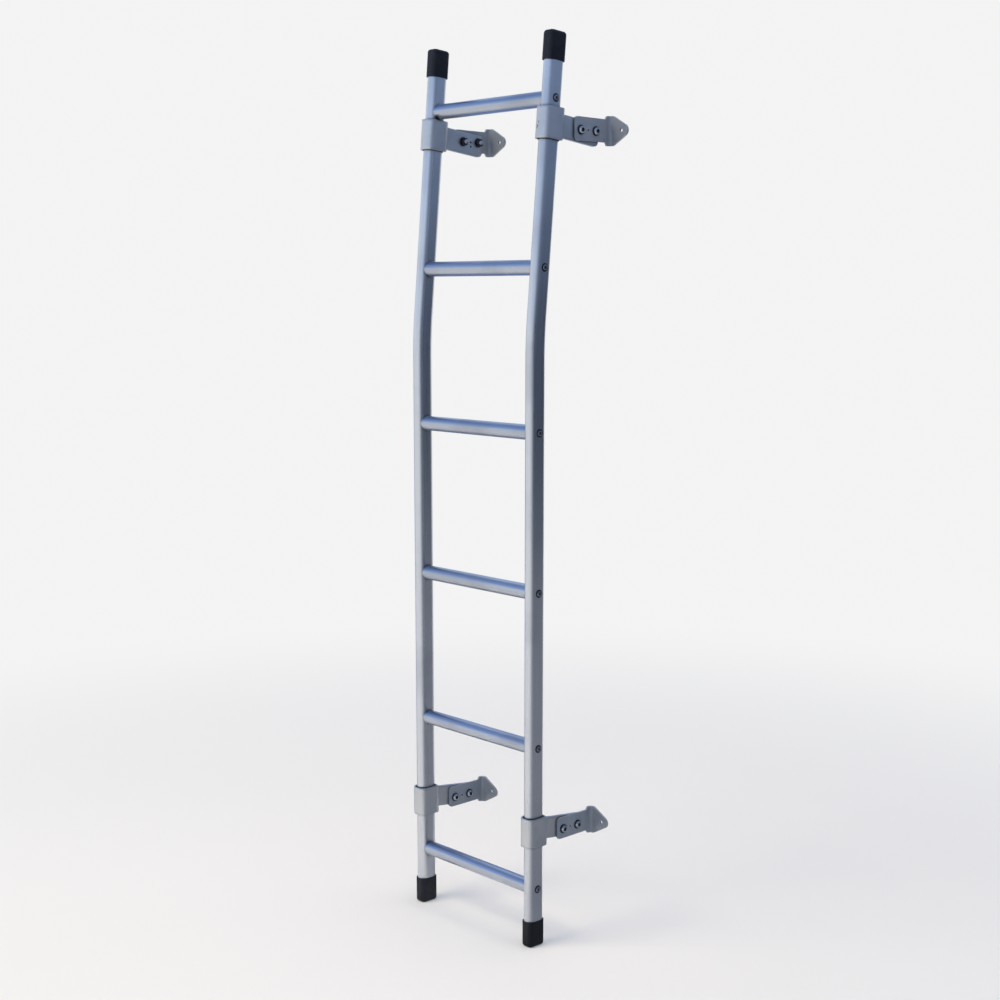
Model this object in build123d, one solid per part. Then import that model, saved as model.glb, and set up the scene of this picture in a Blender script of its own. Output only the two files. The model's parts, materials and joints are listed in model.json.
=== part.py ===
from build123d import *
from math import cos, degrees, radians, sin
import os

# Rear access ladder: two bent tube stiles, round rungs, end caps and four stand-off brackets.
# +X runs along the rungs, +Y points away from the climber, +Z is up the lower stiles.
# The origin is the bolt hole of the lower left foot, on its flat mounting face.

# Rungs, numbered from the bottom
rung_count = 6
rung_pitch = 305.0
bottom_pitch = 285.0
rung_length = 303.0
rung_diameter = 29.0
rung_wall = 2.0

# Stiles, measured along their centre line
stile_width = 22.0
stile_depth = 35.0
stile_corner = 6.0
stile_wall = 2.2
stile_below_rung_1 = 112.0
stile_above_top_rung = 113.0
bend_station = 1068.0
bend_radius = 1000.0
lean_angle = 5.0

# End caps
cap_wall = 3.0
cap_sleeve = 46.5
cap_end = 6.5
cap_edge_chamfer = 5.0
cap_inner_corner = 5.0

# Clamps: a strap folded round the stile over a rubber liner, its two legs closed to one ear
liner_thickness = 3.0
liner_proud = 1.0
liner_inner_corner = 5.0
liner_outer_corner = 10.0
strap_thickness = 3.5
strap_ease = 1.0
strap_rear_room = 3.0
collar_height = 58.0
collar_rear_corner = 8.0
ear_height = 42.0
ear_corner = 9.0
ear_slit = 0.6
ear_past_bolt = 12.0
ear_root_share = 0.9
lower_ear_droop = 7.0
upper_ear_droop = 2.0
upper_clamp_under_rung = 0.5
lower_right_clamp_station = 116.5
lower_left_clamp_station = 104.5

# Feet: a plate bolted to the ear, turned over into a pointed tab with a flat mounting face
foot_thickness = 4.0
foot_front_height = 44.0
foot_rear_height = 42.5
foot_overlap = 16.0
foot_corner = 8.0
foot_bend_inside = 7.0
flare_length = 4.0
tab_height = 55.0
tab_length = 49.0
tab_base = 18.0
tab_corner = 8.0
tab_tip_round = 11.5
stand_off = 157.0
first_bolt = 75.0
bolt_spacing = 40.0
bolt_hole = 8.5
pin_hole = 4.0
tab_hole = 7.0
tab_hole_offset = 33.0
lower_foot_drop = 11.0
foot_lift = 2.0

# Worked out
stile_spacing = rung_length + stile_width
liner_width = stile_width + 2 * liner_thickness
liner_depth = stile_depth + 2 * liner_thickness
strap_width = liner_width + 2 * strap_thickness
strap_depth = liner_depth + 2 * strap_thickness
strap_corner = liner_outer_corner - strap_ease + strap_thickness
ear_half = strap_thickness + ear_slit / 2
foot_bend_outside = foot_bend_inside + foot_thickness
ear_reach = first_bolt + bolt_spacing + ear_past_bolt
face_from_bolt = stand_off - first_bolt
rung_stations = [0.0] + [bottom_pitch + rung_pitch * i for i in range(rung_count - 1)]
stile_top = rung_stations[-1] + stile_above_top_rung
upper_clamp_top = rung_stations[-1] - rung_diameter / 2 - upper_clamp_under_rung
upper_clamp_station = upper_clamp_top - liner_proud - collar_height / 2
touch = 0.01


def stile_place(station):
    """Place on the stile's centre line, with +Z up the stile. Stations start at rung 1."""
    arc = bend_radius * radians(lean_angle)
    into_bend = station - (bend_station - arc / 2)
    if into_bend <= 0:
        return Pos(0, 0, station)
    turned = min(into_bend / bend_radius, radians(lean_angle))
    past_bend = max(into_bend - arc, 0)
    y = bend_radius * (1 - cos(turned)) + past_bend * sin(turned)
    z = station - into_bend + bend_radius * sin(turned) + past_bend * cos(turned)
    return Pos(0, y, z) * Rot(-degrees(turned), 0, 0)


def rounded_tube(width, depth, corner, inner_width, inner_depth, inner_corner):
    """Section of a rounded rectangular tube."""
    return RectangleRounded(width, depth, corner) - RectangleRounded(inner_width, inner_depth, inner_corner)


def make_stile():
    """Hollow stile swept along a straight, a gentle bend and a leaning straight."""
    arc = bend_radius * radians(lean_angle)
    lower_end = bend_station - arc / 2
    lower = Line((0, -stile_below_rung_1), (0, lower_end))
    bend = JernArc(lower @ 1, lower % 1, bend_radius, -lean_angle)
    upper = Line(bend @ 1, bend @ 1 + (bend % 1) * (stile_top - lower_end - arc))
    path = Plane.YZ * (lower + bend + upper)
    section = rounded_tube(
        stile_width,
        stile_depth,
        stile_corner,
        stile_width - 2 * stile_wall,
        stile_depth - 2 * stile_wall,
        stile_corner - stile_wall,
    )
    return sweep(Pos(0, 0, -stile_below_rung_1) * section, path)


def make_rung(station):
    """Round tube whose ends butt against the flat inner sides of the stiles."""
    outer = Cylinder(rung_diameter / 2, rung_length)
    bore = Cylinder(rung_diameter / 2 - rung_wall, rung_length)
    return stile_place(station) * Rot(0, 90, 0) * (outer - bore)


def make_cap():
    """Moulded cap, closed at the top, that slips over a stile's end at z = 0."""
    outer = RectangleRounded(stile_width + 2 * cap_wall, stile_depth + 2 * cap_wall, stile_corner + cap_wall)
    body = Pos(0, 0, -cap_sleeve) * extrude(outer, cap_sleeve + cap_end)
    body = chamfer(body.faces().sort_by(Axis.Z)[-1].edges(), cap_edge_chamfer)
    cavity = RectangleRounded(stile_width, stile_depth, cap_inner_corner)
    return body - Pos(0, 0, -cap_sleeve) * extrude(cavity, cap_sleeve)


def bolt_places(clamp_place, foot_drop):
    """Centres of the two bolts: the foot stays level while its clamp follows the stile."""
    first = (clamp_place * Pos(0, first_bolt, -foot_drop)).position
    return first, first + Vector(0, bolt_spacing, 0)


def make_clamp(clamp_place, bolts, ear_droop):
    """Strap collar round the liner, its legs closed behind the stile to a drooping, drilled ear."""
    rear = strap_depth / 2 + strap_rear_room
    middle = strap_rear_room / 2
    ear_length = ear_reach - rear + strap_thickness
    ear_middle = ear_reach - ear_length / 2

    plan = Pos(0, middle) * RectangleRounded(strap_width, strap_depth + strap_rear_room, strap_corner)
    plan += Pos(0, ear_middle) * Rectangle(2 * ear_half, ear_length)
    roots = plan.vertices().filter_by_position(Axis.Y, rear - touch, rear + touch)
    roots = roots.filter_by_position(Axis.X, -ear_half - touch, ear_half + touch)
    plan = fillet(roots, ear_root_share * (strap_width / 2 - strap_corner - ear_half))
    inner_corner = strap_corner - strap_thickness
    plan -= Pos(0, middle) * RectangleRounded(liner_width, liner_depth + strap_rear_room, inner_corner)
    plan -= Pos(0, ear_middle - strap_thickness) * Rectangle(ear_slit, ear_length + 2 * strap_thickness)

    side_view = Pos(middle, 0) * Rectangle(strap_depth + strap_rear_room, collar_height)
    side_view = fillet(side_view.vertices().group_by(Axis.X)[-1], collar_rear_corner)
    ear = fillet(Rectangle(ear_length, ear_height).vertices().group_by(Axis.X)[-1], ear_corner)
    side_view += Pos(rear, 0) * Rot(0, 0, -ear_droop) * Pos(ear_middle - rear, 0) * ear

    clamp = extrude(plan, collar_height / 2, both=True)
    clamp &= extrude(Plane.YZ * side_view, strap_width / 2, both=True)
    clamp = clamp_place * clamp
    for bolt in bolts:
        clamp -= Pos(bolt) * Rot(0, 90, 0) * Cylinder(bolt_hole / 2, strap_width)
    return clamp


def make_liner(clamp_place):
    """Rubber sleeve between the stile and the strap."""
    ring = rounded_tube(
        liner_width, liner_depth, liner_outer_corner, stile_width, stile_depth, liner_inner_corner
    )
    return clamp_place * extrude(ring, collar_height / 2 + liner_proud, both=True)


def make_foot():
    """Bent plate, raised over its bolts: first hole at the origin, ear's side at x = 0, tab towards +X."""
    arm_end = face_from_bolt - foot_bend_outside
    arm = make_face(
        Polyline(
            (-foot_overlap, foot_front_height / 2),
            (-foot_overlap, -foot_front_height / 2),
            (arm_end - flare_length, -foot_rear_height / 2),
            (arm_end, -tab_height / 2),
            (arm_end, tab_height / 2),
            (arm_end - flare_length, foot_rear_height / 2),
            close=True,
        )
    )
    arm = fillet(arm.vertices().group_by(Axis.X)[0], foot_corner)
    foot = extrude(Plane.YZ * arm, foot_thickness)

    turn_centre = Pos(foot_bend_outside, arm_end)
    turn = Circle(foot_bend_outside) - Circle(foot_bend_inside)
    quarter = Pos(-foot_bend_outside / 2, foot_bend_outside / 2) * Rectangle(foot_bend_outside, foot_bend_outside)
    foot += extrude(turn_centre * (turn & quarter), tab_height / 2, both=True)

    tip_centre = tab_length - tab_tip_round
    point = make_hull(
        [
            *(Pos(tab_base - tab_corner, tab_height / 2 - tab_corner) * Circle(tab_corner)).edges(),
            *(Pos(tab_base - tab_corner, tab_corner - tab_height / 2) * Circle(tab_corner)).edges(),
            *(Pos(tip_centre, 0) * Circle(tab_tip_round)).edges(),
        ]
    )
    keep = Pos((foot_bend_outside + tab_length) / 2, 0) * Rectangle(tab_length - foot_bend_outside, tab_height)
    tab = (point & keep) - Pos(tab_hole_offset, 0) * Circle(tab_hole / 2)
    foot += extrude(Plane.XZ.offset(-face_from_bolt) * tab, foot_thickness)

    foot = Pos(0, 0, foot_lift) * foot
    for distance, size in ((0, bolt_hole), (bolt_spacing / 2, pin_hole), (bolt_spacing, bolt_hole)):
        foot -= Pos(0, distance, 0) * Rot(0, 90, 0) * Cylinder(size / 2, 4 * foot_thickness)
    return foot


# Assembly: every piece in place, with the ladder's middle at x = 0 and rung 1 at z = 0
pieces = {}
stile = make_stile()
cap = make_cap()
foot = make_foot()
bottom_place = stile_place(-stile_below_rung_1) * Rot(180, 0, 0)
top_place = stile_place(stile_top)

for number, station in enumerate(rung_stations, start=1):
    pieces[f"rung_{number}"] = make_rung(station)

for side, sign in (("left", -1), ("right", 1)):
    across = Pos(sign * stile_spacing / 2, 0, 0)
    pieces[f"{side}_stile"] = across * stile
    pieces[f"bottom_{side}_cap"] = across * bottom_place * cap
    pieces[f"top_{side}_cap"] = across * top_place * cap
    lower_station = lower_left_clamp_station if side == "left" else lower_right_clamp_station
    lower = ("lower", lower_station, lower_ear_droop, lower_foot_drop)
    upper = ("upper", upper_clamp_station, upper_ear_droop, 0)
    for level, station, droop, drop in (lower, upper):
        clamp_place = across * stile_place(station)
        bolts = bolt_places(clamp_place, drop)
        behind = level == "upper" and side == "left"
        foot_side = -ear_half - foot_thickness if behind else ear_half
        name = f"{level}_{side}"
        pieces[f"{name}_clamp"] = make_clamp(clamp_place, bolts, droop)
        pieces[f"{name}_clamp_liner"] = make_liner(clamp_place)
        pieces[f"{name}_foot"] = Pos(bolts[0]) * Pos(foot_side, 0, 0) * foot
        if name == "lower_left":
            origin = bolts[0] + Vector(foot_side + tab_hole_offset, face_from_bolt, foot_lift)

os.makedirs("parts", exist_ok=True)
for name, piece in pieces.items():
    export_step(Pos(-origin) * piece, f"parts/{name}.step")
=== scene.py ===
import json
from math import cos, pi, radians, sin, sqrt, tan

import bmesh
import bpy
from bpy.props import FloatProperty, FloatVectorProperty, PointerProperty
from mathutils import Matrix, Vector

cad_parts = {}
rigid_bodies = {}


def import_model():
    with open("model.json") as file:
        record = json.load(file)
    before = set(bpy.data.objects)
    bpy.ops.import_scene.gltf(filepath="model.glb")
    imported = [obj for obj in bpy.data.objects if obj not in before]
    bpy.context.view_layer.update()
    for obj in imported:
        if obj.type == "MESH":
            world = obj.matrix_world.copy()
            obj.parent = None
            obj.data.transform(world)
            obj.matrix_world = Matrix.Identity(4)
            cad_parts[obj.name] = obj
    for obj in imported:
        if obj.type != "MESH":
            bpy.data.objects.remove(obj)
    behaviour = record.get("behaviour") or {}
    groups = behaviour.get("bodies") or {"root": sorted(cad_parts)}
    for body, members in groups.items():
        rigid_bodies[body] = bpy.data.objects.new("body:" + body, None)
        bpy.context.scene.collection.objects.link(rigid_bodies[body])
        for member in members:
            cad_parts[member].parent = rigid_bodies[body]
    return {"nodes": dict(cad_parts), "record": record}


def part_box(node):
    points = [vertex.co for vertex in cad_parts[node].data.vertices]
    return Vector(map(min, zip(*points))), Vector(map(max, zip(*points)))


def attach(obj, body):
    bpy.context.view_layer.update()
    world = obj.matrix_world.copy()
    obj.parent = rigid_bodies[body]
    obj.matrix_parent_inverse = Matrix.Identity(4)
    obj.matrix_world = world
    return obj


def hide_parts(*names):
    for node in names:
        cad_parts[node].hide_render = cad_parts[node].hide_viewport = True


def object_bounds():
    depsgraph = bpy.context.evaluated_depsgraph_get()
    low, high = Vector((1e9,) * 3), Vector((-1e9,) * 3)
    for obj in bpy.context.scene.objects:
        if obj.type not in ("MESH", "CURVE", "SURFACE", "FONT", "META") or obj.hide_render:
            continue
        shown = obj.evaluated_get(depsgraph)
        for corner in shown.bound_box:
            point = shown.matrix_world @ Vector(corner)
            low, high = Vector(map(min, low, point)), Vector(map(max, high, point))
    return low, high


bl_info = {
    "name": "Rear access ladder",
    "version": (1, 0, 0),
    "blender": (4, 5, 0),
    "location": "View3D > Sidebar > Ladder",
    "description": "Models and finishes the ladder's tubes, caps, brackets and fasteners on a plain stage",
    "category": "Object",
}

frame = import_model()
cad_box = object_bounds()
nodes = frame["nodes"]
mounts = {mount["name"]: Vector(mount["pos_m"]) for mount in frame["record"]["mounts"]}

SIDES = ("left", "right")
BRACKETS = ("lower_left", "lower_right", "upper_left", "upper_right")
RUNGS = sorted(name for name in nodes if name.startswith("rung_"))
BODY = "root"

# Points nearer than this, in metres, count as one.
WELD = 0.000002


def size(title, description, default):
    """A length in metres that a user may change."""
    return FloatProperty(
        name=title, description=description, default=default, min=0, unit="LENGTH", precision=4
    )


def degrees(title, description, default):
    """An angle that a user may change, with its default in degrees."""
    return FloatProperty(name=title, description=description, default=radians(default), subtype="ANGLE")


def tint(title, description, default):
    """A colour that a user may change."""
    return FloatVectorProperty(
        name=title, description=description, default=default, size=3, min=0, max=1, subtype="COLOR"
    )


class LadderSizes(bpy.types.PropertyGroup):
    """Sizes of the stiles, rungs, brackets, caps and fasteners."""

    lean: degrees("Lean", "Lean of the stiles above their bend", 5)
    bend_height: size("Bend height", "Height of the bend in the stiles", 0.9725)
    bend_radius: size("Bend radius", "Radius of the bend in the stiles", 1.0)
    stile_width: size("Stile width", "Width of a stile along the rungs", 0.026)
    stile_depth: size("Stile depth", "Depth of a stile from front to back", 0.0395)
    stile_round: size("Stile round", "Rounding of a stile's front and back", 0.0128)
    rung_cope: size("Rung cope", "How far a rung's end may reach round a stile", 0.006)
    face_to_bolt: size("Face to bolt", "From a foot's mounting face to its first bolt", 0.082)
    foot_lift: size("Foot lift", "Height of a foot's middle over its bolts", 0.002)
    bolt_spacing: size("Bolt spacing", "Between a bracket's two bolts", 0.040)
    ear_half: size("Half ear", "Half the thickness of a clamp's closed ear", 0.0038)
    plate: size("Plate", "Thickness of a foot's plate", 0.004)
    edge_round: size("Edge round", "Rounding of the clamps' and feet's cut edges", 0.0005)
    cap_wall: size("Cap wall", "Wall of an end cap", 0.003)
    cap_corner: size("Cap corner", "Rounding of a cap's upright corners", 0.009)
    cap_round: size("Cap round", "Rounding of a cap's closed end", 0.006)
    washer_width: size("Washer width", "Diameter of a bracket washer", 0.0175)
    washer_thickness: size("Washer thickness", "Thickness of a bracket washer", 0.0014)
    bolt_width: size("Bolt width", "Diameter of a bracket bolt's thread", 0.008)
    bolt_head: size("Bolt head", "Diameter of a bracket bolt's button head", 0.0136)
    bolt_dome: size("Bolt dome", "Height of a bracket bolt's button head", 0.0046)
    bolt_socket: size("Bolt socket", "Width across flats of a bracket bolt's socket", 0.0072)
    nut_width: size("Nut width", "Width across flats of a nut", 0.0140)
    nut_height: size("Nut height", "Height of a nut's hexagon", 0.0065)
    screw_head: size("Screw head", "Diameter of a rung screw's low head", 0.0106)
    screw_dome: size("Screw dome", "Height of a rung screw's low head", 0.0016)
    screw_socket: size("Screw socket", "Width across flats of a rung screw's socket", 0.0050)
    screw_washer: size("Screw washer", "Diameter of a rung screw's dark washer", 0.0156)
    clamp_soften: size("Clamp softening", "Reach of the soft shading round the clamps' corners", 0.006)
    pin_width: size("Pin width", "Diameter of the small pins in the ears", 0.0042)


class LadderFinish(bpy.types.PropertyGroup):
    """Colours of the ladder's finishes."""

    silver: tint("Silver", "Satin anodised tube", (0.695, 0.715, 0.75))
    silver_dull: tint("Dull silver", "Handled and weathered tube", (0.585, 0.605, 0.64))
    rung: tint("Rung", "Satin anodised rungs", (0.52, 0.555, 0.62))
    rung_dull: tint("Dull rung", "Trodden and weathered rungs", (0.42, 0.45, 0.51))
    clamp: tint("Clamp", "Silver paint of the clamps", (0.61, 0.625, 0.635))
    clamp_dull: tint("Dull clamp", "Weathered paint of the clamps", (0.51, 0.525, 0.535))
    foot: tint("Foot", "Grey paint of the feet", (0.29, 0.315, 0.345))
    foot_dull: tint("Dull foot", "Weathered paint of the feet", (0.225, 0.25, 0.275))
    bare_edge: tint("Bare edge", "Metal that shows where paint is rubbed off", (0.72, 0.72, 0.72))
    cap_black: tint("Cap black", "Moulded plastic of the caps", (0.006, 0.007, 0.011))
    cap_scuffed: tint("Scuffed cap", "Rubbed and dusty plastic", (0.020, 0.022, 0.030))
    rubber: tint("Rubber", "Clamp liners", (0.016, 0.016, 0.018))
    rubber_dusty: tint("Dusty rubber", "Dust on the clamp liners", (0.05, 0.05, 0.05))
    zinc: tint("Zinc", "Plated bracket bolts", (0.76, 0.77, 0.78))
    zinc_dull: tint("Dull zinc", "Stained plating", (0.52, 0.53, 0.55))
    screw: tint("Screw", "Plated rung screws", (0.42, 0.43, 0.45))
    screw_dull: tint("Dull screw", "Stained rung screws", (0.28, 0.29, 0.31))
    # Dark zinc is a far darker copy of the bolts' zinc. On the nuts it paints the shade they stand in; the
    # washers, pins and the rings round the rung screws take it too.
    dark_zinc_and_painted_shade: tint("Dark zinc", "Blackened nuts and pins", (0.10, 0.105, 0.115))
    # Grime also serves as painted shade in seams, corners and sockets.
    grime_and_painted_shade: tint("Grime", "Dirt in sockets, seams and corners", (0.02, 0.02, 0.022))


class LadderStage(bpy.types.PropertyGroup):
    """Camera, floor and lights."""

    camera_place: FloatVectorProperty(
        name="Camera place",
        description="Where the camera stands",
        default=(2.4309, -2.2333, 1.0582),
        size=3,
        subtype="TRANSLATION",
        unit="LENGTH",
    )
    camera_turn: degrees("Camera turn", "Turn to the left of +Y", 47.151)
    camera_tilt: degrees("Camera tilt", "Tilt below the horizon", 9.76)
    camera_lens: FloatProperty(
        name="Camera lens", description="Focal length for a 36 mm sensor", default=57.35, unit="CAMERA"
    )
    camera_rise: FloatProperty(name="Camera rise", description="Upward shift of the frame", default=0.0667)
    floor: tint("Floor", "Pale floor and backdrop", (0.80, 0.78, 0.74))
    pale: tint("Background", "Floor and backdrop away from the ladder", (0.90, 0.90, 0.90))
    zenith: tint("Zenith", "Light from straight above", (0.12, 0.20, 0.44))
    high_sky: tint("High sky", "Light from halfway up", (0.17, 0.27, 0.54))
    mid_sky: tint("Middle sky", "Light from a third of the way up", (0.27, 0.45, 0.92))
    low_sky: tint("Low sky", "Light from a little above the horizon", (0.38, 0.58, 1.00))
    haze: tint("Haze", "Light from just above the horizon", (0.82, 0.91, 1.00))
    horizon: tint("Horizon", "Light from the horizon", (0.93, 0.95, 0.98))
    ground: tint("Ground", "Light from below", (0.60, 0.59, 0.57))
    lamp: tint("Lamp", "Colour of the soft lamps", (1.0, 0.88, 0.64))
    # The card colours glow, and only the metal's reflections show them: painted reflections.
    card_low: tint("Low card", "Foot of the dark card on the right", (0.22, 0.235, 0.27))
    card_mid: tint("Middle card", "Middle of the dark card on the right", (0.052, 0.066, 0.096))
    card_high: tint("High card", "Top of the dark card on the right", (0.20, 0.27, 0.42))
    back_low: tint("Low back", "Foot of the card behind the ladder", (0.23, 0.25, 0.30))
    back_mid: tint("Middle back", "Lower half of the card behind the ladder", (0.20, 0.31, 0.62))
    back_high: tint("High back", "Upper part of the card behind the ladder", (0.58, 0.72, 0.97))


def settings():
    """The scene's three groups of settings: sizes, finish, stage."""
    scene = bpy.context.scene
    return scene.ladder_sizes, scene.ladder_finish, scene.ladder_stage


# Modelling


def select_only(piece=None):
    """Leaves edit mode and selects one piece, or nothing."""
    if bpy.context.object and bpy.context.object.mode != "OBJECT":
        bpy.ops.object.mode_set(mode="OBJECT")
    bpy.ops.object.select_all(action="DESELECT")
    if piece:
        piece.select_set(True)
        bpy.context.view_layer.objects.active = piece


def edit(piece):
    """Opens a piece in edit mode."""
    select_only(piece)
    bpy.ops.object.mode_set(mode="EDIT")


def done():
    """Closes edit mode."""
    bpy.ops.object.mode_set(mode="OBJECT")


def pick(piece, kind, test):
    """In edit mode, selects the faces or the edges that pass a test."""
    bpy.ops.mesh.select_mode(type=kind)
    bpy.ops.mesh.select_all(action="DESELECT")
    shape = bmesh.from_edit_mesh(piece.data)
    for part in shape.faces if kind == "FACE" else shape.edges:
        if test(part):
            part.select_set(True)
    bmesh.update_edit_mesh(piece.data)


def weld():
    """In edit mode, joins points that meet and turns the faces outwards."""
    bpy.ops.mesh.select_all(action="SELECT")
    bpy.ops.mesh.remove_doubles(threshold=WELD)
    bpy.ops.mesh.normals_make_consistent(inside=False)


def settle():
    """Moves the chosen piece's place, turn and scale into its mesh."""
    bpy.ops.object.transform_apply(location=True, rotation=True, scale=True)


def smooth(piece, below):
    """Shades a piece smooth over edges that turn by less than an angle in degrees."""
    select_only(piece)
    bpy.ops.object.shade_smooth_by_angle(angle=radians(below))


def apply_modifier(piece, kind, **values):
    """Adds a modifier with these values and applies it."""
    select_only(piece)
    modifier = piece.modifiers.new(kind.title(), kind)
    for key, value in values.items():
        setattr(modifier, key, value)
    bpy.ops.object.modifier_apply(modifier=modifier.name)


def round_edges(piece, width, angle=40):
    """Rounds a piece's sharp edges and keeps its flat faces flat."""
    apply_modifier(
        piece,
        "BEVEL",
        width=width,
        segments=2,
        limit_method="ANGLE",
        angle_limit=radians(angle),
        use_clamp_overlap=True,
    )
    smooth(piece, below=50)
    apply_modifier(piece, "WEIGHTED_NORMAL", keep_sharp=True)


def turn_piece(name, profile, steps=40, angle=2 * pi):
    """Turns a profile of (radius, height) points about Z, clockwise from above."""
    select_only()
    bpy.ops.mesh.primitive_plane_add(size=0.001, location=(0, 0, 0))
    piece = bpy.context.object
    piece.name = name
    edit(piece)
    bpy.ops.mesh.select_mode(type="VERT")
    bpy.ops.mesh.select_all(action="SELECT")
    bpy.ops.mesh.merge(type="CENTER")
    here = Vector((profile[0][0], 0, profile[0][1]))
    bpy.ops.transform.translate(value=here)
    for radius, height in profile[1:]:
        there = Vector((radius, 0, height))
        bpy.ops.mesh.extrude_vertices_move(TRANSFORM_OT_translate={"value": there - here})
        here = there
    bpy.ops.mesh.select_all(action="SELECT")
    bpy.ops.mesh.spin(steps=steps, angle=angle, center=(0, 0, 0), axis=(0, 0, 1))
    weld()
    done()
    return piece


def hexagon(name, across_flats, low, high):
    """Hexagonal bar about Z."""
    select_only()
    bpy.ops.mesh.primitive_cylinder_add(
        vertices=6, radius=across_flats / sqrt(3), depth=high - low, location=(0, 0, (low + high) / 2)
    )
    bar = bpy.context.object
    bar.name = name
    settle()
    return bar


def carve(piece, tool, operation):
    """Cuts a piece with a tool, or keeps what both share, and removes the tool."""
    apply_modifier(piece, "BOOLEAN", object=tool, operation=operation, solver="EXACT")
    bpy.data.objects.remove(tool)


def copy_of(master, name):
    """Copy of a piece with a mesh of its own."""
    select_only(master)
    bpy.ops.object.duplicate(linked=False)
    copy = bpy.context.object
    copy.name = name
    copy.data.name = name
    return copy


def put(piece, place):
    """Moves a piece to its place in its mesh, with its object at the origin."""
    select_only(piece)
    piece.matrix_world = place
    settle()


def hand_over(piece, slot, *finishes):
    """Gives a piece its finishes, and ties it to the ladder."""
    looks = piece.data.materials
    for place, finish in enumerate(finishes):
        if place < len(looks):
            looks[place] = finish
        else:
            looks.append(finish)
    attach(piece, BODY)


def facing(point, sign):
    """Place at a point with +Z turned to +X, or to -X for a sign of -1."""
    return Matrix.Translation(point) @ Matrix.Rotation(sign * pi / 2, 4, "Y")


def dome(width, flat, low, high, steps=6):
    """Points of a button head's rounded top, from its rim over its flat to its middle."""
    points = []
    for step in range(steps + 1):
        turned = step / steps * pi / 2
        points.append((flat + (width - flat) * cos(turned), low + (high - low) * sin(turned)))
    return points + [(0, high)]


def cut_socket(piece, across_flats, top, depth, edge):
    """Cuts a hexagonal socket in a head, rounds the edges and gives the socket the second finish."""
    proud = 0.001
    lip = 0.0003
    carve(piece, hexagon("key", across_flats, top - depth, top + proud), "DIFFERENCE")
    round_edges(piece, edge)
    # A hexagon's corners lie 0.577 of its width from its middle.
    reach = across_flats * 0.58
    # The socket's faces take the second finish: dirt and painted shade in the recess.
    for polygon in piece.data.polygons:
        inside = Vector(polygon.center[:2]).length < reach
        within = 0 < polygon.center.z < top - lip - WELD
        polygon.material_index = 1 if inside and within else 0


# Where the brackets and rungs are


def stile_middle(side):
    """X of a stile's centre plane."""
    low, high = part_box(f"{side}_stile")
    return (low.x + high.x) / 2


def bracket_bolts(bracket):
    """Centres of a bracket's two bolts, in the middle of its ear."""
    sizes = settings()[0]
    face = mounts[f"{bracket}_foot_face"]
    side = bracket.split("_")[1]
    first = Vector((stile_middle(side), face.y - sizes.face_to_bolt, face.z - sizes.foot_lift))
    return first, first + Vector((0, sizes.bolt_spacing, 0))


def foot_sign(bracket):
    """Side of the ear that the foot and the bolt heads are on: 1 for +X, -1 for -X."""
    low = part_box(f"{bracket}_foot")[0]
    return 1 if low.x > stile_middle(bracket.split("_")[1]) else -1


def on_bracket(bracket, middle, sign):
    """Place beside a bolt's middle, on a bracket's outer face that looks to +X, or to -X for -1."""
    sizes = settings()[0]
    reach = sizes.ear_half + (sizes.plate if sign == foot_sign(bracket) else 0)
    return facing(middle + Vector((sign * reach, 0, 0)), sign)


def rung_middle(rung):
    """Centre of a rung."""
    low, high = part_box(rung)
    return (low + high) / 2


def collar_scratches():
    """Two scratches on the front of the upper right collar: middle, width, length and slant."""
    low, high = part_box("upper_right_clamp_liner")
    middle = (low + high) / 2
    face = Vector((middle.x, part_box("upper_right_clamp")[0].y, middle.z))
    return (
        (face + Vector((-0.0035, 0, 0.002)), 0.0026, 0.0062, radians(20)),
        (face + Vector((-0.0060, 0, -0.006)), 0.0034, 0.0100, radians(22)),
    )


# Finishes


def new_finish(name):
    """New material with its node tree and its shader."""
    finish = bpy.data.materials.new(name)
    finish.use_nodes = True
    return finish, finish.node_tree, finish.node_tree.nodes["Principled BSDF"]


def fill(tree, node, inputs):
    """Sets or links a node's inputs."""
    for key, value in inputs.items():
        if isinstance(value, bpy.types.NodeSocket):
            tree.links.new(value, node.inputs[key])
        else:
            node.inputs[key].default_value = value


def add(tree, kind, inputs=None, **values):
    """Adds a node, sets its values, and sets or links its inputs."""
    node = tree.nodes.new(kind)
    for key, value in values.items():
        setattr(node, key, value)
    fill(tree, node, inputs or {})
    return node


def combine(tree, first, second, operation="ADD"):
    """Sum, product or other mathematical join of two values."""
    return add(tree, "ShaderNodeMath", {0: first, 1: second}, operation=operation).outputs[0]


def vectors(tree, operation, *inputs):
    """Outputs of an operation on vectors: a vector first, and a number named Value."""
    return add(tree, "ShaderNodeVectorMath", dict(enumerate(inputs)), operation=operation).outputs


def rgba(colour):
    """Colour with full cover."""
    return (*colour, 1)


def on_piece(tree):
    """Object coordinates."""
    return add(tree, "ShaderNodeTexCoord").outputs["Object"]


def up_stile(tree):
    """Object coordinates that follow the stiles' lean above the bend."""
    sizes = settings()[0]
    split = add(tree, "ShaderNodeSeparateXYZ", {"Vector": on_piece(tree)}).outputs
    above = combine(tree, split["Z"], sizes.bend_height, "SUBTRACT")
    above = combine(tree, above, 0.0, "MAXIMUM")
    back = combine(tree, above, tan(sizes.lean), "MULTIPLY")
    y = combine(tree, split["Y"], back, "SUBTRACT")
    return add(tree, "ShaderNodeCombineXYZ", {"X": split["X"], "Y": y, "Z": split["Z"]}).outputs["Vector"]


def mottle(tree, place, scale, detail=4, stretch=(1, 1, 1)):
    """Noise on a place, from 0 to 1, its cells stretched by axis."""
    spread = add(tree, "ShaderNodeMapping", {"Vector": place, "Scale": stretch})
    noise = add(tree, "ShaderNodeTexNoise", {"Vector": spread.outputs[0], "Scale": scale, "Detail": detail})
    return noise.outputs["Fac"]


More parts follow.
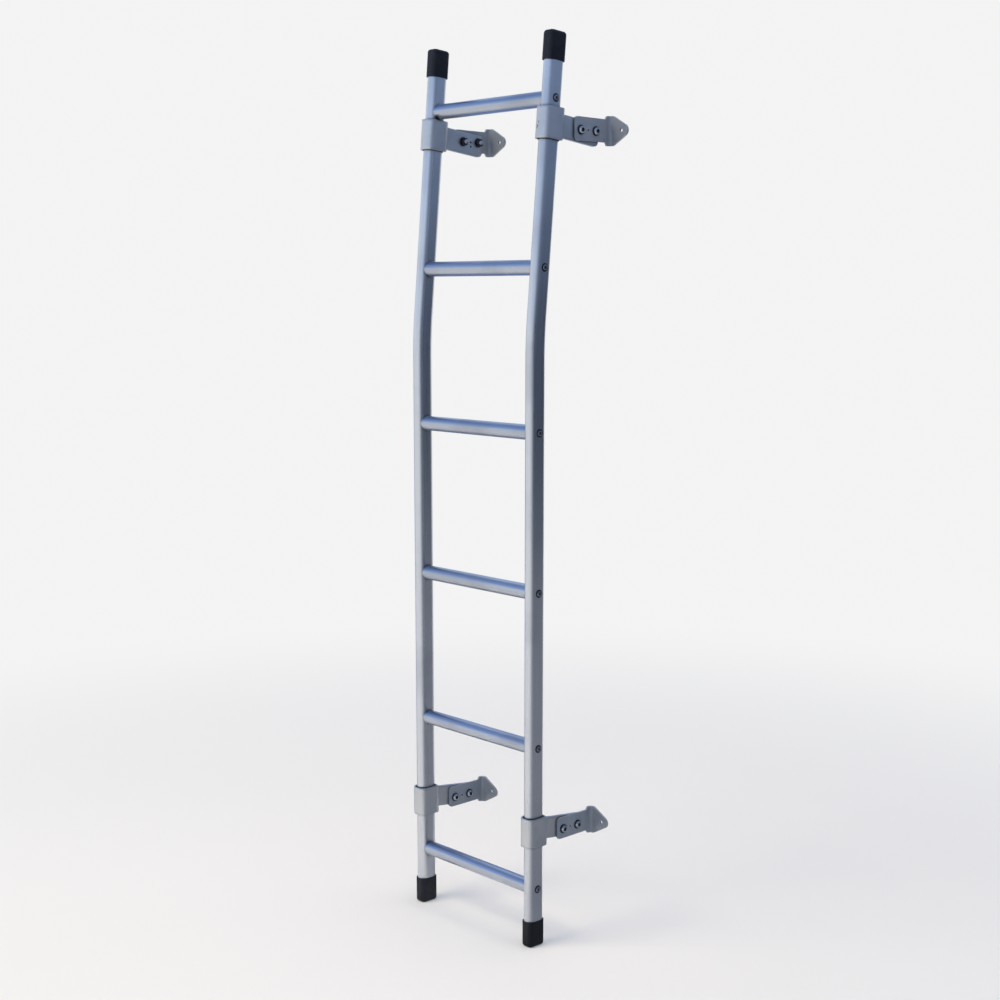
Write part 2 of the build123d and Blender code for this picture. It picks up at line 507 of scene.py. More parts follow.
def level(tree, value, start, end, low, high):
    """Maps a value from start..end to low..high, smoothly and without overshoot."""
    inputs = {"Value": value, "From Min": start, "From Max": end, "To Min": low, "To Max": high}
    return add(tree, "ShaderNodeMapRange", inputs, interpolation_type="SMOOTHSTEP").outputs["Result"]


def level_linear(tree, value, start, end):
    """Maps start..end to 0..1."""
    inputs = {"Value": value, "From Min": start, "From Max": end}
    return add(tree, "ShaderNodeMapRange", inputs).outputs["Result"]


def blend(tree, factor, first, second):
    """Colour between two colours or colour sockets."""
    ends = [end if isinstance(end, bpy.types.NodeSocket) else rgba(end) for end in (first, second)]
    return add(tree, "ShaderNodeMix", {0: factor, 6: ends[0], 7: ends[1]}, data_type="RGBA").outputs[2]


def colour_ramp(tree, value, stops):
    """Colour that changes with a value between stops of (position, colour)."""
    ramp = add(tree, "ShaderNodeValToRGB", {"Fac": value})
    while len(ramp.color_ramp.elements) < len(stops):
        ramp.color_ramp.elements.new(0.5)
    for element, (position, colour) in zip(ramp.color_ramp.elements, stops):
        element.position = position
        element.color = rgba(colour)
    return ramp.outputs["Color"]


def raised(tree, height, strength, distance, normal=None):
    """Normal for a raised grain."""
    inputs = {"Height": height, "Strength": strength, "Distance": distance}
    if normal:
        inputs["Normal"] = normal
    return add(tree, "ShaderNodeBump", inputs).outputs["Normal"]


def softened(tree, reach):
    """Normal that turns gently round corners."""
    return add(tree, "ShaderNodeBevel", {"Radius": reach}, samples=6).outputs["Normal"]


def painted_seam_shade(tree, reach):
    """1 in corners and seams, where ambient occlusion finds shade, and 0 on open faces: the mask of painted
    shade.
    """
    shade = add(tree, "ShaderNodeAmbientOcclusion", {"Distance": reach}, samples=6)
    return level(tree, shade.outputs["AO"], 0.35, 0.95, 1.0, 0.0)


def rubbed_edges(tree, radius):
    """1 on sharp edges, where a finish rubs off, and 0 on open faces."""
    plain = add(tree, "ShaderNodeNewGeometry").outputs["Normal"]
    along = vectors(tree, "DOT_PRODUCT", softened(tree, radius), plain)["Value"]
    return level(tree, along, 0.80, 0.985, 1.0, 0.0)


def scratch(tree, place, middle, width, length, slant):
    """Up to 0.75 inside a slanting scratch on a face that looks to -Y, and 0 elsewhere."""
    reach = (width / 2, 0.012, length / 2)
    inputs = {"Vector": place, "Location": middle, "Rotation": (0, slant, 0), "Scale": reach}
    local = add(tree, "ShaderNodeMapping", inputs, vector_type="TEXTURE").outputs[0]
    out = vectors(tree, "LENGTH", local)["Value"]
    ragged = combine(tree, out, level(tree, mottle(tree, place, 900, 3), 0.3, 0.7, -0.12, 0.12))
    return level(tree, ragged, 0.5, 1.0, 0.75, 0.0)


def silver_tube(name, place_of, line_cells, band_cells, fresh, dull):
    """Satin anodised tube with drawing lines along it, dull patches, and dirt and painted shade in its
    seams.

    The cells are those of the lines' and the bands' noise in a metre along each axis.
    """
    colours = settings()[1]
    finish, tree, shader = new_finish(name)
    place = place_of(tree)
    lines = mottle(tree, place, 1, 5, stretch=line_cells)
    bands = mottle(tree, place, 1, 3, stretch=band_cells)
    patches = mottle(tree, place, 7, 4)
    handled = level(tree, patches, 0.42, 0.72, 0.0, 1.0)
    tone = combine(tree, level(tree, lines, 0.3, 0.7, 0.0, 0.45), handled, "MAXIMUM")
    colour = blend(tree, tone, fresh, dull)
    # Painted shade: ambient occlusion darkens the seams towards grime, broken up in patches like dirt.
    dirt_and_painted_shade = combine(tree, painted_seam_shade(tree, 0.007), level(tree, patches, 0.25, 0.6, 0.35, 0.8), "MULTIPLY")
    rough = combine(tree, level(tree, lines, 0.3, 0.7, 0.25, 0.36), level(tree, bands, 0.4, 0.7, 0.0, 0.05))
    look = {
        "Base Color": blend(tree, dirt_and_painted_shade, colour, colours.grime_and_painted_shade),
        "Roughness": combine(tree, rough, level(tree, handled, 0.0, 1.0, 0.0, 0.06)),
        "Metallic": 1.0,
        "Normal": raised(tree, lines, 0.10, 0.0004),
    }
    fill(tree, shader, look)
    return finish


def bracket_paint(name, fresh, dull, metal, rough, soften=None, scratches=()):
    """Metallic paint with a fine peel, worn edges, scratches, and dirt and painted shade in its corners."""
    colours = settings()[1]
    finish, tree, shader = new_finish(name)
    place = on_piece(tree)
    flake = level(tree, mottle(tree, place, 2600, 2), 0.3, 0.7, 0.0, 0.4)
    peel = mottle(tree, place, 420, 3)
    patches = mottle(tree, place, 16, 5)
    wear = level(tree, mottle(tree, place, 130, 4), 0.4, 0.6, 0.1, 0.8)
    tone = combine(tree, flake, level(tree, patches, 0.4, 0.75, 0.0, 0.8), "MAXIMUM")
    colour = blend(tree, tone, fresh, dull)
    worn = combine(tree, rubbed_edges(tree, 0.0012), wear, "MULTIPLY")
    colour = blend(tree, worn, colour, colours.bare_edge)
    # Painted shade: ambient occlusion darkens the corners towards grime, broken up in patches like dirt; the
    # scratches join this mask.
    dirt_and_painted_shade = combine(tree, painted_seam_shade(tree, 0.006), level(tree, patches, 0.2, 0.6, 0.4, 0.85), "MULTIPLY")
    for mark in scratches:
        dirt_and_painted_shade = combine(tree, dirt_and_painted_shade, scratch(tree, place, *mark), "MAXIMUM")
    normal = softened(tree, soften) if soften else None
    look = {
        "Base Color": blend(tree, dirt_and_painted_shade, colour, colours.grime_and_painted_shade),
        "Roughness": level(tree, patches, 0.3, 0.7, rough - 0.06, rough + 0.06),
        "Metallic": metal,
        "Normal": raised(tree, peel, 0.12, 0.0003, normal),
    }
    fill(tree, shader, look)
    return finish


def cap_plastic(name):
    """Black moulded plastic with a fine grain, scuffed on its edges."""
    colours = settings()[1]
    finish, tree, shader = new_finish(name)
    place = on_piece(tree)
    grain = mottle(tree, place, 1700, 3)
    patches = mottle(tree, place, 30, 5)
    scuffs = mottle(tree, place, 160, 5, stretch=(1, 1, 0.25))
    rub = combine(tree, rubbed_edges(tree, 0.002), level(tree, scuffs, 0.45, 0.65, 0.1, 0.9), "MULTIPLY")
    worn = combine(tree, rub, level(tree, patches, 0.45, 0.8, 0.0, 0.5), "MAXIMUM")
    look = {
        "Base Color": blend(tree, worn, colours.cap_black, colours.cap_scuffed),
        "Roughness": level(tree, patches, 0.3, 0.7, 0.34, 0.5),
        "Specular IOR Level": 0.25,
        "Normal": raised(tree, grain, 0.16, 0.0002),
    }
    fill(tree, shader, look)
    return finish


def liner_rubber(name):
    """Matt black rubber with a little dust."""
    colours = settings()[1]
    finish, tree, shader = new_finish(name)
    place = on_piece(tree)
    grain = mottle(tree, place, 900, 4)
    dust = level(tree, mottle(tree, place, 60, 4), 0.45, 0.75, 0.0, 0.6)
    look = {
        "Base Color": blend(tree, dust, colours.rubber, colours.rubber_dusty),
        "Roughness": level(tree, grain, 0.3, 0.7, 0.68, 0.85),
        "Normal": raised(tree, grain, 0.2, 0.0002),
    }
    fill(tree, shader, look)
    return finish


def plated_steel(name, bright, dull):
    """Plated fastener steel, stained in patches, with painted shade in its seams."""
    colours = settings()[1]
    finish, tree, shader = new_finish(name)
    place = on_piece(tree)
    stain = mottle(tree, place, 240, 5)
    colour = blend(tree, level(tree, stain, 0.4, 0.7, 0.0, 1.0), bright, dull)
    look = {
        # Painted shade: ambient occlusion darkens the seams towards grime.
        "Base Color": blend(tree, painted_seam_shade(tree, 0.0014), colour, colours.grime_and_painted_shade),
        "Roughness": level(tree, stain, 0.3, 0.7, 0.22, 0.42),
        "Metallic": 1.0,
        "Normal": raised(tree, mottle(tree, place, 1500, 3), 0.08, 0.0002),
    }
    fill(tree, shader, look)
    return finish


def socket_dirt_and_painted_shade(name):
    """Oily dirt that fills the sockets, dark enough to stand as painted shade in their recesses."""
    colours = settings()[1]
    finish, tree, shader = new_finish(name)
    specks = level(tree, mottle(tree, on_piece(tree), 900, 4), 0.4, 0.7, 0.0, 1.0)
    look = {
        "Base Color": blend(tree, specks, colours.grime_and_painted_shade, colours.rubber_dusty),
        "Roughness": level(tree, specks, 0.0, 1.0, 0.5, 0.8),
    }
    fill(tree, shader, look)
    return finish


def finish_named(name):
    """The finish of that name, made the first time it is asked for."""
    if name in bpy.data.materials:
        return bpy.data.materials[name]
    sizes, colours = settings()[:2]
    if name == "stile silver":
        cells = (900, 900, 5), (120, 120, 1.2)
        return silver_tube(name, up_stile, *cells, colours.silver, colours.silver_dull)
    if name == "rung silver":
        cells = (6, 900, 900), (2, 120, 120)
        return silver_tube(name, on_piece, *cells, colours.rung, colours.rung_dull)
    if name == "clamp paint":
        return bracket_paint(
            name,
            colours.clamp,
            colours.clamp_dull,
            metal=0.90,
            rough=0.37,
            soften=sizes.clamp_soften,
            scratches=collar_scratches(),
        )
    if name == "foot paint":
        return bracket_paint(name, colours.foot, colours.foot_dull, metal=0.35, rough=0.42)
    if name == "cap plastic":
        return cap_plastic(name)
    if name == "liner rubber":
        return liner_rubber(name)
    if name == "zinc":
        return plated_steel(name, colours.zinc, colours.zinc_dull)
    if name == "screw zinc":
        return plated_steel(name, colours.screw, colours.screw_dull)
    if name == "dark zinc":
        return plated_steel(name, colours.dark_zinc_and_painted_shade, colours.grime_and_painted_shade)
    if name == "socket dirt":
        return socket_dirt_and_painted_shade(name)
    raise ValueError(f"no finish is named {name}")


def dress(node, finish):
    """Gives a solid of the frame its finish."""
    slot = nodes[node].material_slots[0]
    slot.link = "OBJECT"
    slot.material = finish


# Stage


def ladder_foot():
    """Middle of the ladder's box, on the floor."""
    middle = (cad_box[0] + cad_box[1]) / 2
    return Vector((middle.x, middle.y, cad_box[0].z))


def swept_sheet(name, width, front, back, rise, sweep):
    """Sheet on the floor from y = front to y = back, where it curves up to a wall of that rise."""
    select_only()
    bpy.ops.mesh.primitive_plane_add(size=1, location=(0, 0, 0))
    sheet = bpy.context.object
    sheet.name = name
    edit(sheet)
    bpy.ops.mesh.select_all(action="SELECT")
    bpy.ops.transform.resize(value=(width, back - front, 1))
    bpy.ops.transform.translate(value=(0, (front + back) / 2, 0))
    pick(sheet, "EDGE", lambda edge: min(vert.co.y for vert in edge.verts) > back - WELD)
    bpy.ops.mesh.extrude_region_move(TRANSFORM_OT_translate={"value": (0, 0, rise)})
    corner = Vector((0, back, 0))
    pick(sheet, "EDGE", lambda edge: all((vert.co - corner).yz.length < WELD for vert in edge.verts))
    bpy.ops.mesh.bevel(offset=sweep, segments=16, affect="EDGES")
    done()
    bpy.ops.object.shade_smooth()
    return sheet


def show_mix(tree, share, first, second):
    """Makes a finish show a mix of two shaders."""
    mixed = add(tree, "ShaderNodeMixShader", {0: share, 1: first.outputs[0], 2: second.outputs[0]})
    fill(tree, tree.nodes["Material Output"], {"Surface": mixed.outputs[0]})


def stand(name, data):
    """Object that holds a lamp or a camera in the scene."""
    holder = bpy.data.objects.new(name, data)
    bpy.context.scene.collection.objects.link(holder)
    return holder


# Operators


class LADDER_OT_model_stiles(bpy.types.Operator):
    """Model the bent stiles with round fronts and backs"""

    bl_idname = "ladder.model_stiles"
    bl_label = "Model stiles"

    def execute(self, context):
        sizes = settings()[0]
        low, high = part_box("left_stile")
        along = Vector((0, sin(sizes.lean), cos(sizes.lean)))
        middle = rung_middle(RUNGS[0]).y
        bend_start = sizes.bend_height - sizes.bend_radius * sizes.lean / 2
        bend_centre = Vector((0, middle + sizes.bend_radius, bend_start))
        bend_end = bend_centre + sizes.bend_radius * Vector((0, -along.z, along.y))
        top = high.z - sizes.stile_depth / 2 * along.y
        select_only()
        bpy.ops.mesh.primitive_cube_add(
            size=1,
            location=(0, middle, (low.z + bend_start) / 2),
            scale=(sizes.stile_width, sizes.stile_depth, bend_start - low.z),
        )
        master = bpy.context.object
        settle()
        edit(master)
        pick(master, "EDGE", lambda edge: edge.calc_length() > sizes.stile_depth + WELD)
        bpy.ops.mesh.bevel(offset=sizes.stile_round, segments=14, affect="EDGES")
        pick(master, "FACE", lambda face: face.normal.z > 0.9)
        bpy.ops.mesh.delete(type="ONLY_FACE")
        pick(master, "EDGE", lambda edge: min(vert.co.z for vert in edge.verts) > bend_start - WELD)
        bpy.ops.mesh.spin(steps=24, angle=sizes.lean, center=bend_centre, axis=(1, 0, 0))
        pick(master, "EDGE", lambda edge: min((v.co - bend_end).dot(along) for v in edge.verts) > -WELD)
        upper_length = (top - bend_end.z) / along.z
        bpy.ops.mesh.extrude_region_move(TRANSFORM_OT_translate={"value": along * upper_length})
        bpy.ops.mesh.edge_face_add()
        weld()
        done()
        smooth(master, below=30)
        apply_modifier(master, "WEIGHTED_NORMAL", keep_sharp=True)
        for side in SIDES:
            stile = copy_of(master, f"{side}_stile_rounded")
            put(stile, Matrix.Translation((stile_middle(side), 0, 0)))
            hand_over(stile, "frame_metal", finish_named("stile silver"))
            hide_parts(f"{side}_stile")
        bpy.data.objects.remove(master)
        return {"FINISHED"}


class LADDER_OT_model_rungs(bpy.types.Operator):
    """Model the rungs and cope their ends to the stiles"""

    bl_idname = "ladder.model_rungs"
    bl_label = "Model rungs"

    def execute(self, context):
        sizes = settings()[0]
        for node in RUNGS:
            low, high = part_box(node)
            select_only()
            bpy.ops.mesh.primitive_cylinder_add(
                vertices=72,
                radius=(high.z - low.z) / 2,
                depth=high.x - low.x + 2 * sizes.rung_cope,
                location=(low + high) / 2,
                rotation=(0, pi / 2, 0),
            )
            rung = bpy.context.object
            rung.name = f"{node}_coped"
            rung.data.name = rung.name
            settle()
            for side in SIDES:
                carve(rung, copy_of(bpy.data.objects[f"{side}_stile_rounded"], "cope"), "DIFFERENCE")
            smooth(rung, below=30)
            hand_over(rung, "frame_metal", finish_named("rung silver"))
            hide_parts(node)
        return {"FINISHED"}


class LADDER_OT_finish_liners(bpy.types.Operator):
    """Finish the clamp liners in rubber"""

    bl_idname = "ladder.finish_liners"
    bl_label = "Finish liners"

    def execute(self, context):
        for bracket in BRACKETS:
            dress(f"{bracket}_clamp_liner", finish_named("liner rubber"))
        return {"FINISHED"}


class LADDER_OT_round_brackets(bpy.types.Operator):
    """Round the cut edges of the clamps and feet, and paint them"""

    bl_idname = "ladder.round_brackets"
    bl_label = "Round and paint brackets"

    def execute(self, context):
        sizes = settings()[0]
        for bracket in BRACKETS:
            for kind in ("clamp", "foot"):
                node = f"{bracket}_{kind}"
                plate = copy_of(nodes[node], f"{node}_rounded")
                bpy.ops.object.parent_clear(type="CLEAR_KEEP_TRANSFORM")
                # The copy starts without the marks that make its source a node of the frame.
                for key in list(plate.keys()):
                    del plate[key]
                bpy.ops.mesh.customdata_custom_splitnormals_clear()
                edit(plate)
                bpy.ops.mesh.select_all(action="SELECT")
                bpy.ops.mesh.remove_doubles(threshold=WELD)
                bpy.ops.mesh.dissolve_limited(angle_limit=radians(0.3))
                done()
                round_edges(plate, sizes.edge_round)
                hand_over(plate, "bracket_metal", finish_named(f"{kind} paint"))
                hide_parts(node)
        return {"FINISHED"}


class LADDER_OT_model_caps(bpy.types.Operator):
    """Model the hollow moulded caps with rounded ends, and slip them on the stiles"""

    bl_idname = "ladder.model_caps"
    bl_label = "Model end caps"

    def execute(self, context):
        sizes = settings()[0]
        low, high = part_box("bottom_left_cap")
        select_only()
        bpy.ops.mesh.primitive_cube_add(size=1, location=(0, 0, 0), scale=high - low)
        master = bpy.context.object
        settle()
        top = (high - low).z / 2
        edit(master)
        pick(master, "EDGE", lambda edge: abs((edge.verts[0].co - edge.verts[1].co).z) > top)
        bpy.ops.mesh.bevel(offset=sizes.cap_corner, segments=8, affect="EDGES")
        pick(master, "FACE", lambda face: face.normal.z > 0.9)
        bpy.ops.mesh.region_to_loop()
        bpy.ops.mesh.bevel(offset=sizes.cap_round, segments=6, affect="EDGES")
        pick(master, "FACE", lambda face: face.normal.z < -0.9)
        bpy.ops.mesh.delete(type="FACE")
        done()
        apply_modifier(master, "SOLIDIFY", thickness=sizes.cap_wall, offset=-1, use_even_offset=True)
        lip_round = 0.0004
        round_edges(master, lip_round, angle=60)
        for side in SIDES:
            for end in ("bottom", "top"):
                node = f"{end}_{side}_cap"
                low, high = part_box(node)
                turned = pi if end == "bottom" else -sizes.lean
                cap = copy_of(master, f"{node}_moulded")
                put(cap, Matrix.Translation((low + high) / 2) @ Matrix.Rotation(turned, 4, "X"))
                hand_over(cap, "cap_plastic", finish_named("cap plastic"))
                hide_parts(node)
        bpy.data.objects.remove(master)
        return {"FINISHED"}


class LADDER_OT_model_bolts(bpy.types.Operator):
    """Model the brackets' button-head bolts and put two in each bracket"""

    bl_idname = "ladder.model_bolts"
    bl_label = "Model bracket bolts"

    def execute(self, context):
        sizes = settings()[0]
        past_nut = 0.0036
        groove = 0.0005
        turns = 6
        head_rim = 0.0007
        thread = sizes.bolt_width / 2
        seat = sizes.washer_thickness
        head = sizes.bolt_head / 2
        top = seat + sizes.bolt_dome
        through = 2 * sizes.ear_half + sizes.plate
        end = through + sizes.washer_thickness + sizes.nut_height + past_nut
        profile = [(0, -end), (thread - 2 * groove, -end)]
        for turn in range(turns):
            height = groove + turn * 2 * groove - end
            profile += [(thread, height), (thread - groove, height + groove)]
        profile += [(thread, (2 * turns + 2) * groove - end), (thread, seat), (head, seat)]
        profile += dome(head, head / 2, seat + head_rim, top)
        master = turn_piece("bolt", profile)
        cut_socket(master, sizes.bolt_socket, top, depth=0.0028, edge=0.00025)
        for bracket in BRACKETS:
            for number, middle in enumerate(bracket_bolts(bracket), start=1):
                bolt = copy_of(master, f"{bracket}_bolt_{number}")
                put(bolt, on_bracket(bracket, middle, foot_sign(bracket)))
                hand_over(bolt, "fastener_steel", finish_named("zinc"), finish_named("socket dirt"))
        bpy.data.objects.remove(master)
        return {"FINISHED"}


class LADDER_OT_model_nuts(bpy.types.Operator):
    """Model the washers and nuts and put them on the bracket bolts"""

    bl_idname = "ladder.model_nuts"
    bl_label = "Model washers and nuts"

    def execute(self, context):
        sizes = settings()[0]
        play = 0.0002
        edge = 0.0003
        seat = sizes.washer_thickness
        outer = sizes.washer_width / 2
        inner = sizes.bolt_width / 2 + play
        washer = turn_piece("washer", [(inner, 0), (outer, 0), (outer, seat), (inner, seat), (inner, 0)])
        round_edges(washer, edge)

        top = seat + sizes.nut_height
        corner = sizes.nut_width / sqrt(3)
        face = sizes.nut_width / 2 * 0.95
        drop = (corner - face) * tan(radians(30))
        barrel = [(0, seat), (face, seat), (corner, seat + drop)]
        barrel += [(corner, top - drop), (face, top), (0, top)]
        bore = [(0, 0), (inner, 0), (inner, top + seat), (0, top + seat)]
        nut = hexagon("nut", sizes.nut_width, seat, top)
        carve(nut, turn_piece("nut_barrel", barrel), "INTERSECT")
        carve(nut, turn_piece("nut_bore", bore), "DIFFERENCE")
        round_edges(nut, edge)

        for bracket in BRACKETS:
            head_sign = foot_sign(bracket)
            for number, middle in enumerate(bracket_bolts(bracket), start=1):
                for master, kind, sign in (
                    (washer, "head_washer", head_sign),
                    (washer, "nut_washer", -head_sign),
                    (nut, "nut", -head_sign),
                ):
                    piece = copy_of(master, f"{bracket}_{kind}_{number}")
                    put(piece, on_bracket(bracket, middle, sign))
                    hand_over(piece, "fastener_steel", finish_named("dark zinc"))
        bpy.data.objects.remove(washer)
        bpy.data.objects.remove(nut)
        return {"FINISHED"}


class LADDER_OT_model_screws(bpy.types.Operator):
    """Model the low rung screws with their dark washers, and put one on each rung's ends"""

    bl_idname = "ladder.model_screws"
    bl_label = "Model rung screws"

    def execute(self, context):
        sizes = settings()[0]
        sunk = 0.0005
        seat = 0.0008
        chamfer = 0.0004
        head_rim = 0.0004
        rim = sizes.screw_washer / 2
        head = sizes.screw_head / 2
        top = seat + sizes.screw_dome
        profile = [(0, -sunk), (rim, -sunk), (rim, seat * 0.6), (rim - chamfer, seat), (head, seat)]
        profile += dome(head, head * 0.6, seat + head_rim, top)
        master = turn_piece("rung_screw", profile)
        cut_socket(master, sizes.screw_socket, top, depth=0.0017, edge=0.0002)
        # The ring round each screw head takes dark zinc, so it reads as a dark ring round the head.
        for polygon in master.data.polygons:
            if Vector(polygon.center[:2]).length > head:
                polygon.material_index = 2
        for rung in RUNGS:
            middle = rung_middle(rung)
            for side, sign in (("left", -1), ("right", 1)):
                outer = stile_middle(side) + sign * sizes.stile_width / 2
                screw = copy_of(master, f"{rung}_{side}_screw")
                put(screw, facing(Vector((outer, middle.y, middle.z)), sign))
                looks = (finish_named(look) for look in ("screw zinc", "socket dirt", "dark zinc"))
                hand_over(screw, "fastener_steel", *looks)
        bpy.data.objects.remove(master)
        return {"FINISHED"}


class LADDER_OT_model_pins(bpy.types.Operator):
    """Model the small pins that show on the open side of each ear"""

    bl_idname = "ladder.model_pins"
    bl_label = "Model ear pins"

    def execute(self, context):
        sizes = settings()[0]
        sunk = 0.0005
        rim_height = 0.0001
        height = 0.0006
        second_drop = 0.0085
        rim = sizes.pin_width / 2
        profile = [(0, -sunk), (rim, -sunk)] + dome(rim, rim / 2, rim_height, height, steps=4)
        master = turn_piece("ear_pin", profile, steps=24)
        for bracket in BRACKETS:
            sign = -foot_sign(bracket)
            first, second = bracket_bolts(bracket)
            for number, drop in enumerate((0, second_drop), start=1):
                place = (first + second) / 2 + Vector((sign * sizes.ear_half, 0, -drop))
                pin = copy_of(master, f"{bracket}_ear_pin_{number}")
                put(pin, facing(place, sign))
                smooth(pin, below=50)
                hand_over(pin, "fastener_steel", finish_named("dark zinc"))
        bpy.data.objects.remove(master)
        return {"FINISHED"}


class LADDER_OT_set_stage(bpy.types.Operator):
    """Lay the floor and backdrop, hang the lights and set the camera"""

    bl_idname = "ladder.set_stage"
    bl_label = "Set stage"

    def execute(self, context):
        stage = settings()[2]
        self.lay_floor(stage)
        self.stand_reflection_card(stage)
        self.light_world(stage)
        self.hang_lamps(stage)
        self.set_camera(stage)
        context.scene.view_settings.view_transform = "Standard"
        return {"FINISHED"}

    def lay_floor(self, stage):
        """Floor that sweeps up into a backdrop behind the ladder, square to the camera."""
        floor = swept_sheet("floor", width=32.0, front=-26.0, back=6.0, rise=7.0, sweep=2.5)
        put(floor, Matrix.Translation(ladder_foot()) @ Matrix.Rotation(stage.camera_turn, 4, "Z"))
        finish, tree, shader = new_finish("pale floor")
        spot = on_piece(tree)
        darker = [0.985 * part for part in stage.floor]
        look = {
            "Base Color": blend(tree, mottle(tree, spot, 3, 3), stage.floor, darker),
            "Roughness": 0.9,
            "Specular IOR Level": 0.2,
        }
        fill(tree, shader, look)
        ray = add(tree, "ShaderNodeLightPath").outputs
        seen = combine(tree, ray["Is Camera Ray"], ray["Is Glossy Ray"], "MAXIMUM")
        seen = combine(tree, seen, ray["Is Transmission Ray"], "MAXIMUM")
        near, far = 0.4, 3.0
        away = level(tree, vectors(tree, "DISTANCE", spot, ladder_foot())["Value"], near, far, 0.2, 1.0)
        plain = add(tree, "ShaderNodeEmission", {"Color": rgba(stage.pale)})
        show_mix(tree, combine(tree, seen, away, "MULTIPLY"), shader, plain)
        floor.data.materials.append(finish)

    def stand_reflection_card(self, stage):
        """Glowing card round the right and the back of the ladder, which only the metal's reflections show:
        painted dark and blue reflections on the metal.
        """
        # Radius and height of a flat foot, a sweep and an upright wall.
        outline = [(0.02, 0), (1.1, 0), (1.24, 0.04), (1.36, 0.16), (1.4, 0.3), (1.4, 3.0)]
        card = turn_piece("glowing_reflection_card", outline, steps=64, angle=radians(308))
        over_floor = Vector((0, 0, 0.001))
        put(card, Matrix.Translation(ladder_foot() + over_floor) @ Matrix.Rotation(radians(198), 4, "Z"))
        bpy.ops.object.shade_smooth()
        finish, tree = new_finish("dark card")[:2]
        spot = on_piece(tree)
        out = vectors(tree, "SUBTRACT", spot, ladder_foot())[0]
        way = vectors(tree, "NORMALIZE", vectors(tree, "MULTIPLY", out, (1, 1, 0))[0])[0]
        turn = stage.camera_turn

        def towards(x, y):
            return vectors(tree, "DOT_PRODUCT", way, (x, y, 0))["Value"]

        height = add(tree, "ShaderNodeSeparateXYZ", {0: spot}).outputs["Z"]
        height = level_linear(tree, height, cad_box[0].z, cad_box[1].z)
        right = colour_ramp(
            tree,
            height,
            ((0.2, stage.card_low), (0.45, stage.card_mid), (0.72, stage.card_mid), (1.0, stage.card_high)),
        )
        back = colour_ramp(
            tree,
            height,
            ((0.0, stage.back_low), (0.12, stage.back_mid), (0.45, stage.back_mid), (0.75, stage.back_high)),
        )
        colour = blend(tree, level(tree, towards(-1, 0), 0.30, 0.65, 0.0, 1.0), right, back)
        # The card glows with these colours, and so paints the reflections on the metal.
        plain = add(tree, "ShaderNodeEmission", {"Color": colour})
        clear = add(tree, "ShaderNodeBsdfTransparent")
        front_end = level(tree, towards(cos(turn), sin(turn)), -0.60, 0.50, 0.0, 1.0)
        left_end = level(tree, towards(-sin(turn), -cos(turn)), 0.74, 0.92, 1.0, 0.0)
        behind = level(tree, towards(-sin(turn), cos(turn)), -0.1, 0.2, 0.0, 1.0)
        # The card is open nearly straight behind the ladder.
        back_gap = level(tree, towards(-0.12, 0.993), 0.95, 0.99, 1.0, 0.0)
        ends = combine(tree, left_end, back_gap, "MULTIPLY")
        cover = combine(tree, combine(tree, front_end, behind, "MAXIMUM"), ends, "MULTIPLY")
        show_mix(tree, cover, clear, plain)
        card.data.materials.append(finish)
        card.visible_camera = False
        card.visible_diffuse = False
        card.visible_transmission = False
        card.visible_shadow = False

    def light_world(self, stage):
        """Soft light all round: blue from above, white from the horizon."""
        world = bpy.data.worlds.new("soft light")
        bpy.context.scene.world = world
        world.use_nodes = True
        tree = world.node_tree
        way = add(tree, "ShaderNodeTexCoord").outputs["Generated"]
        split = add(tree, "ShaderNodeSeparateXYZ", {"Vector": way})
        ramp = colour_ramp(
            tree,
            level_linear(tree, split.outputs["Z"], -1.0, 1.0),
            (
                (0.47, stage.ground),
                (0.50, stage.horizon),
                (0.585, stage.haze),
                (0.65, stage.low_sky),
                (0.735, stage.mid_sky),
                (0.85, stage.high_sky),
                (1.0, stage.zenith),
            ),
        )
        fill(tree, tree.nodes["Background"], {"Color": ramp})

    def hang_lamps(self, stage):
        """Large soft lamps to the front left and above."""
        aim = (cad_box[0] + cad_box[1]) / 2
        for name, place, width, power in (
            ("key lamp", (-0.7, -2.6, 3.6), 2.0, 120),
            ("top lamp", (0.5, 0.2, 4.2), 2.6, 90),
        ):
            lamp = bpy.data.lights.new(name, "AREA")
            lamp.energy = power
            lamp.size = width
            lamp.color = stage.lamp
            holder = stand(name, lamp)
            holder.location = place
            holder.rotation_euler = (aim - Vector(place)).to_track_quat("-Z", "Y").to_euler()
            holder.visible_glossy = False

    def set_camera(self, stage):
        """Camera at the picture's viewing angle."""
        camera = bpy.data.cameras.new("camera")
        camera.lens = stage.camera_lens
        camera.sensor_width = 36
        camera.shift_y = stage.camera_rise
        holder = stand("camera", camera)
        holder.location = stage.camera_place
        holder.rotation_euler = (pi / 2 - stage.camera_tilt, 0, stage.camera_turn)
        bpy.context.scene.camera = holder


OPERATORS = (
    LADDER_OT_model_stiles,
    LADDER_OT_model_rungs,
    LADDER_OT_finish_liners,
    LADDER_OT_round_brackets,
    LADDER_OT_model_caps,
    LADDER_OT_model_bolts,
    LADDER_OT_model_nuts,
    LADDER_OT_model_screws,
    LADDER_OT_model_pins,
    LADDER_OT_set_stage,
)


class LADDER_PT_panel(bpy.types.Panel):
    """The ladder's pieces, in the order they are made"""

    bl_idname = "LADDER_PT_panel"
    bl_label = "Ladder"
    bl_space_type = "VIEW_3D"
    bl_region_type = "UI"
    bl_category = "Ladder"

    def draw(self, context):
        for operator in OPERATORS:
            self.layout.operator(operator.bl_idname)


GROUPS = {"ladder_sizes": LadderSizes, "ladder_finish": LadderFinish, "ladder_stage": LadderStage}
CLASSES = (*GROUPS.values(), *OPERATORS, LADDER_PT_panel)


def register():
    for item in CLASSES:
        bpy.utils.register_class(item)
    for name, group in GROUPS.items():
        setattr(bpy.types.Scene, name, PointerProperty(type=group))


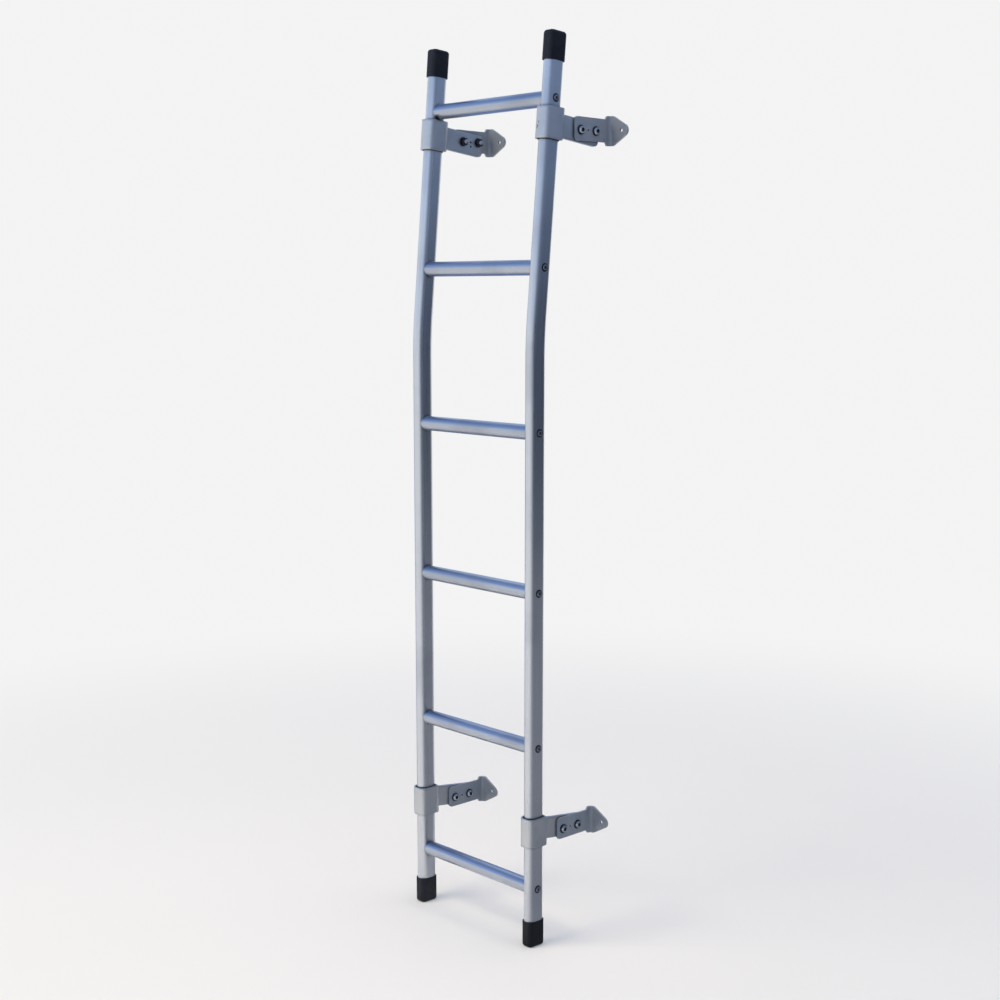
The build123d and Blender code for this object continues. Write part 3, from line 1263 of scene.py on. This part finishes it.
def unregister():
    for name in GROUPS:
        delattr(bpy.types.Scene, name)
    for item in reversed(CLASSES):
        bpy.utils.unregister_class(item)


def main():
    """Builds every piece in order."""
    register()
    bpy.ops.ladder.model_stiles()
    bpy.ops.ladder.model_rungs()
    bpy.ops.ladder.finish_liners()
    bpy.ops.ladder.round_brackets()
    bpy.ops.ladder.model_caps()
    bpy.ops.ladder.model_bolts()
    bpy.ops.ladder.model_nuts()
    bpy.ops.ladder.model_screws()
    bpy.ops.ladder.model_pins()
    bpy.ops.ladder.set_stage()


if __name__ == "__main__":
    main()
